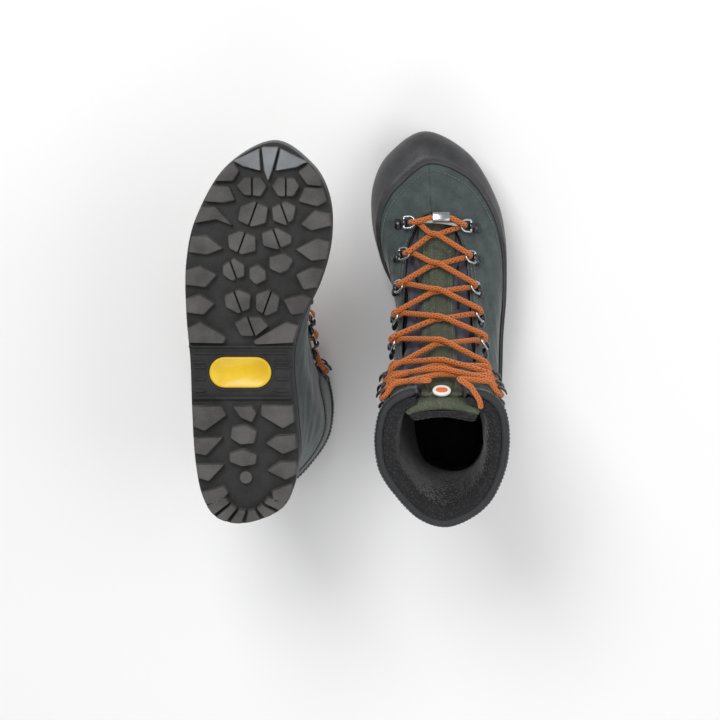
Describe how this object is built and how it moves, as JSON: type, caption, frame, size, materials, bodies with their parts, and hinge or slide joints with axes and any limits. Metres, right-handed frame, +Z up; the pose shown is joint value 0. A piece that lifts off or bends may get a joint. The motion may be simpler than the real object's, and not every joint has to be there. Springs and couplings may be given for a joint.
{
  "type": "mountaineering boots",
  "caption": "Lace-up mountaineering boots with lugged soles, a rubber rand and a padded collar, one standing and one turned sole up beside it.",
  "frame": {"origin": "centre of the pair's footprint, on the floor", "axes": "+Y from heel to toe, +X from the upturned boot to the standing one, +Z up"},
  "size_m": [0.2686, 0.3172, 0.211],
  "materials": {
    "tread_rubber": "stippled moulded rubber",
    "badge": "satin",
    "midsole": "matt",
    "board": "matt",
    "felt": "felted",
    "rand_rubber": "satin",
    "nubuck": "nubuck",
    "stiffener": "matt",
    "knit": "knit mesh",
    "tongue_leather": "matt",
    "lace": "braided",
    "ring_steel": "bright",
    "gunmetal": "dark satin"
  },
  "bodies": {
    "root": {"standing_outsole": "tread_rubber", "standing_sole_badge": "badge", "standing_midsole": "midsole", "standing_insole_board": "board", "standing_footbed": "felt", "standing_rand": "rand_rubber", "standing_upper": "nubuck", "standing_toe_puff": "stiffener", "standing_heel_counter": "stiffener", "standing_lining": "knit", "standing_tongue": "knit", "standing_tongue_pad": "tongue_leather", "standing_lace": "lace", "standing_lace_tag": "ring_steel", "standing_hook_outer_1": "gunmetal", "standing_hook_outer_2": "gunmetal", "standing_hook_outer_3": "gunmetal", "standing_hook_inner_1": "gunmetal", "standing_hook_inner_2": "gunmetal", "standing_hook_inner_3": "gunmetal"},
    "turned_boot": {"turned_outsole": "tread_rubber", "turned_sole_badge": "badge", "turned_midsole": "midsole", "turned_insole_board": "board", "turned_footbed": "felt", "turned_rand": "rand_rubber", "turned_upper": "nubuck", "turned_toe_puff": "stiffener", "turned_heel_counter": "stiffener", "turned_lining": "knit", "turned_tongue": "knit", "turned_tongue_pad": "tongue_leather", "turned_lace": "lace", "turned_lace_tag": "ring_steel", "turned_hook_outer_1": "gunmetal", "turned_hook_outer_2": "gunmetal", "turned_hook_outer_3": "gunmetal", "turned_hook_inner_1": "gunmetal", "turned_hook_inner_2": "gunmetal", "turned_hook_inner_3": "gunmetal"},
    "standing_ring_outer_1": {"standing_ring_outer_1": "ring_steel"},
    "standing_ring_outer_2": {"standing_ring_outer_2": "ring_steel"},
    "standing_ring_outer_3": {"standing_ring_outer_3": "ring_steel"},
    "standing_ring_outer_4": {"standing_ring_outer_4": "ring_steel"},
    "standing_ring_outer_5": {"standing_ring_outer_5": "ring_steel"},
    "standing_ring_inner_1": {"standing_ring_inner_1": "ring_steel"},
    "standing_ring_inner_2": {"standing_ring_inner_2": "ring_steel"},
    "standing_ring_inner_3": {"standing_ring_inner_3": "ring_steel"},
    "standing_ring_inner_4": {"standing_ring_inner_4": "ring_steel"},
    "standing_ring_inner_5": {"standing_ring_inner_5": "ring_steel"},
    "turned_ring_outer_1": {"turned_ring_outer_1": "ring_steel"},
    "turned_ring_outer_2": {"turned_ring_outer_2": "ring_steel"},
    "turned_ring_outer_3": {"turned_ring_outer_3": "ring_steel"},
    "turned_ring_outer_4": {"turned_ring_outer_4": "ring_steel"},
    "turned_ring_outer_5": {"turned_ring_outer_5": "ring_steel"},
    "turned_ring_inner_1": {"turned_ring_inner_1": "ring_steel"},
    "turned_ring_inner_2": {"turned_ring_inner_2": "ring_steel"},
    "turned_ring_inner_3": {"turned_ring_inner_3": "ring_steel"},
    "turned_ring_inner_4": {"turned_ring_inner_4": "ring_steel"},
    "turned_ring_inner_5": {"turned_ring_inner_5": "ring_steel"}
  },
  "joints": [
    {"name": "turned_boot_lift", "type": "slide", "parent": "root", "child": "turned_boot", "axis": [0, 0, 1], "range_m": [0, 0.3]},
    {"name": "standing_ring_outer_1_swing", "type": "hinge", "parent": "root", "child": "standing_ring_outer_1", "pos_m": [0.10101, 0.07994, 0.07548], "axis": [0, -0.9688, 0.2479], "range_deg": [-4, 4]},
    {"name": "standing_ring_outer_2_swing", "type": "hinge", "parent": "root", "child": "standing_ring_outer_2", "pos_m": [0.10431, 0.05345, 0.08254], "axis": [0, -0.921, 0.3895], "range_deg": [-4, 4]},
    {"name": "standing_ring_outer_3_swing", "type": "hinge", "parent": "root", "child": "standing_ring_outer_3", "pos_m": [0.10729, 0.028, 0.09226], "axis": [0, -0.8727, 0.4882], "range_deg": [-4, 4]},
    {"name": "standing_ring_outer_4_swing", "type": "hinge", "parent": "root", "child": "standing_ring_outer_4", "pos_m": [0.10966, 0.00498, 0.10471], "axis": [0, -0.7516, 0.6596], "range_deg": [-4, 4]},
    {"name": "standing_ring_outer_5_swing", "type": "hinge", "parent": "root", "child": "standing_ring_outer_5", "pos_m": [0.11237, -0.01683, 0.12415], "axis": [0, -0.5113, 0.8594], "range_deg": [-4, 4]},
    {"name": "standing_ring_inner_1_swing", "type": "hinge", "parent": "root", "child": "standing_ring_inner_1", "pos_m": [0.04348, 0.08309, 0.07737], "axis": [0, 0.9647, -0.2634], "range_deg": [-4, 4]},
    {"name": "standing_ring_inner_2_swing", "type": "hinge", "parent": "root", "child": "standing_ring_inner_2", "pos_m": [0.03967, 0.05635, 0.08501], "axis": [0, 0.9169, -0.3992], "range_deg": [-4, 4]},
    {"name": "standing_ring_inner_3_swing", "type": "hinge", "parent": "root", "child": "standing_ring_inner_3", "pos_m": [0.03604, 0.02909, 0.09448], "axis": [0, 0.8708, -0.4917], "range_deg": [-4, 4]},
    {"name": "standing_ring_inner_4_swing", "type": "hinge", "parent": "root", "child": "standing_ring_inner_4", "pos_m": [0.03377, 0.0033, 0.1081], "axis": [0, 0.7167, -0.6974], "range_deg": [-4, 4]},
    {"name": "standing_ring_inner_5_swing", "type": "hinge", "parent": "root", "child": "standing_ring_inner_5", "pos_m": [0.0313, -0.0176, 0.12651], "axis": [0, 0.4872, -0.8733], "range_deg": [-4, 4]},
    {"name": "turned_ring_outer_1_swing", "type": "hinge", "parent": "turned_boot", "child": "turned_ring_outer_1", "pos_m": [-0.10101, 0.07694, 0.13552], "axis": [0, -0.9688, -0.2479], "range_deg": [-4, 4]},
    {"name": "turned_ring_outer_2_swing", "type": "hinge", "parent": "turned_boot", "child": "turned_ring_outer_2", "pos_m": [-0.10431, 0.05045, 0.12846], "axis": [0, -0.921, -0.3895], "range_deg": [-4, 4]},
    {"name": "turned_ring_outer_3_swing", "type": "hinge", "parent": "turned_boot", "child": "turned_ring_outer_3", "pos_m": [-0.10729, 0.025, 0.11874], "axis": [0, -0.8727, -0.4882], "range_deg": [-4, 4]},
    {"name": "turned_ring_outer_4_swing", "type": "hinge", "parent": "turned_boot", "child": "turned_ring_outer_4", "pos_m": [-0.10966, 0.00198, 0.10629], "axis": [0, -0.7516, -0.6596], "range_deg": [-4, 4]},
    {"name": "turned_ring_outer_5_swing", "type": "hinge", "parent": "turned_boot", "child": "turned_ring_outer_5", "pos_m": [-0.11237, -0.01983, 0.08685], "axis": [0, -0.5113, -0.8594], "range_deg": [-4, 4]},
    {"name": "turned_ring_inner_1_swing", "type": "hinge", "parent": "turned_boot", "child": "turned_ring_inner_1", "pos_m": [-0.04348, 0.08009, 0.13363], "axis": [0, 0.9647, 0.2634], "range_deg": [-4, 4]},
    {"name": "turned_ring_inner_2_swing", "type": "hinge", "parent": "turned_boot", "child": "turned_ring_inner_2", "pos_m": [-0.03967, 0.05335, 0.12599], "axis": [0, 0.9169, 0.3992], "range_deg": [-4, 4]},
    {"name": "turned_ring_inner_3_swing", "type": "hinge", "parent": "turned_boot", "child": "turned_ring_inner_3", "pos_m": [-0.03604, 0.02609, 0.11652], "axis": [0, 0.8708, 0.4917], "range_deg": [-4, 4]},
    {"name": "turned_ring_inner_4_swing", "type": "hinge", "parent": "turned_boot", "child": "turned_ring_inner_4", "pos_m": [-0.03377, 0.0003, 0.1029], "axis": [0, 0.7167, 0.6974], "range_deg": [-4, 4]},
    {"name": "turned_ring_inner_5_swing", "type": "hinge", "parent": "turned_boot", "child": "turned_ring_inner_5", "pos_m": [-0.0313, -0.0206, 0.08449], "axis": [0, 0.4872, 0.8733], "range_deg": [-4, 4]}
  ]
}
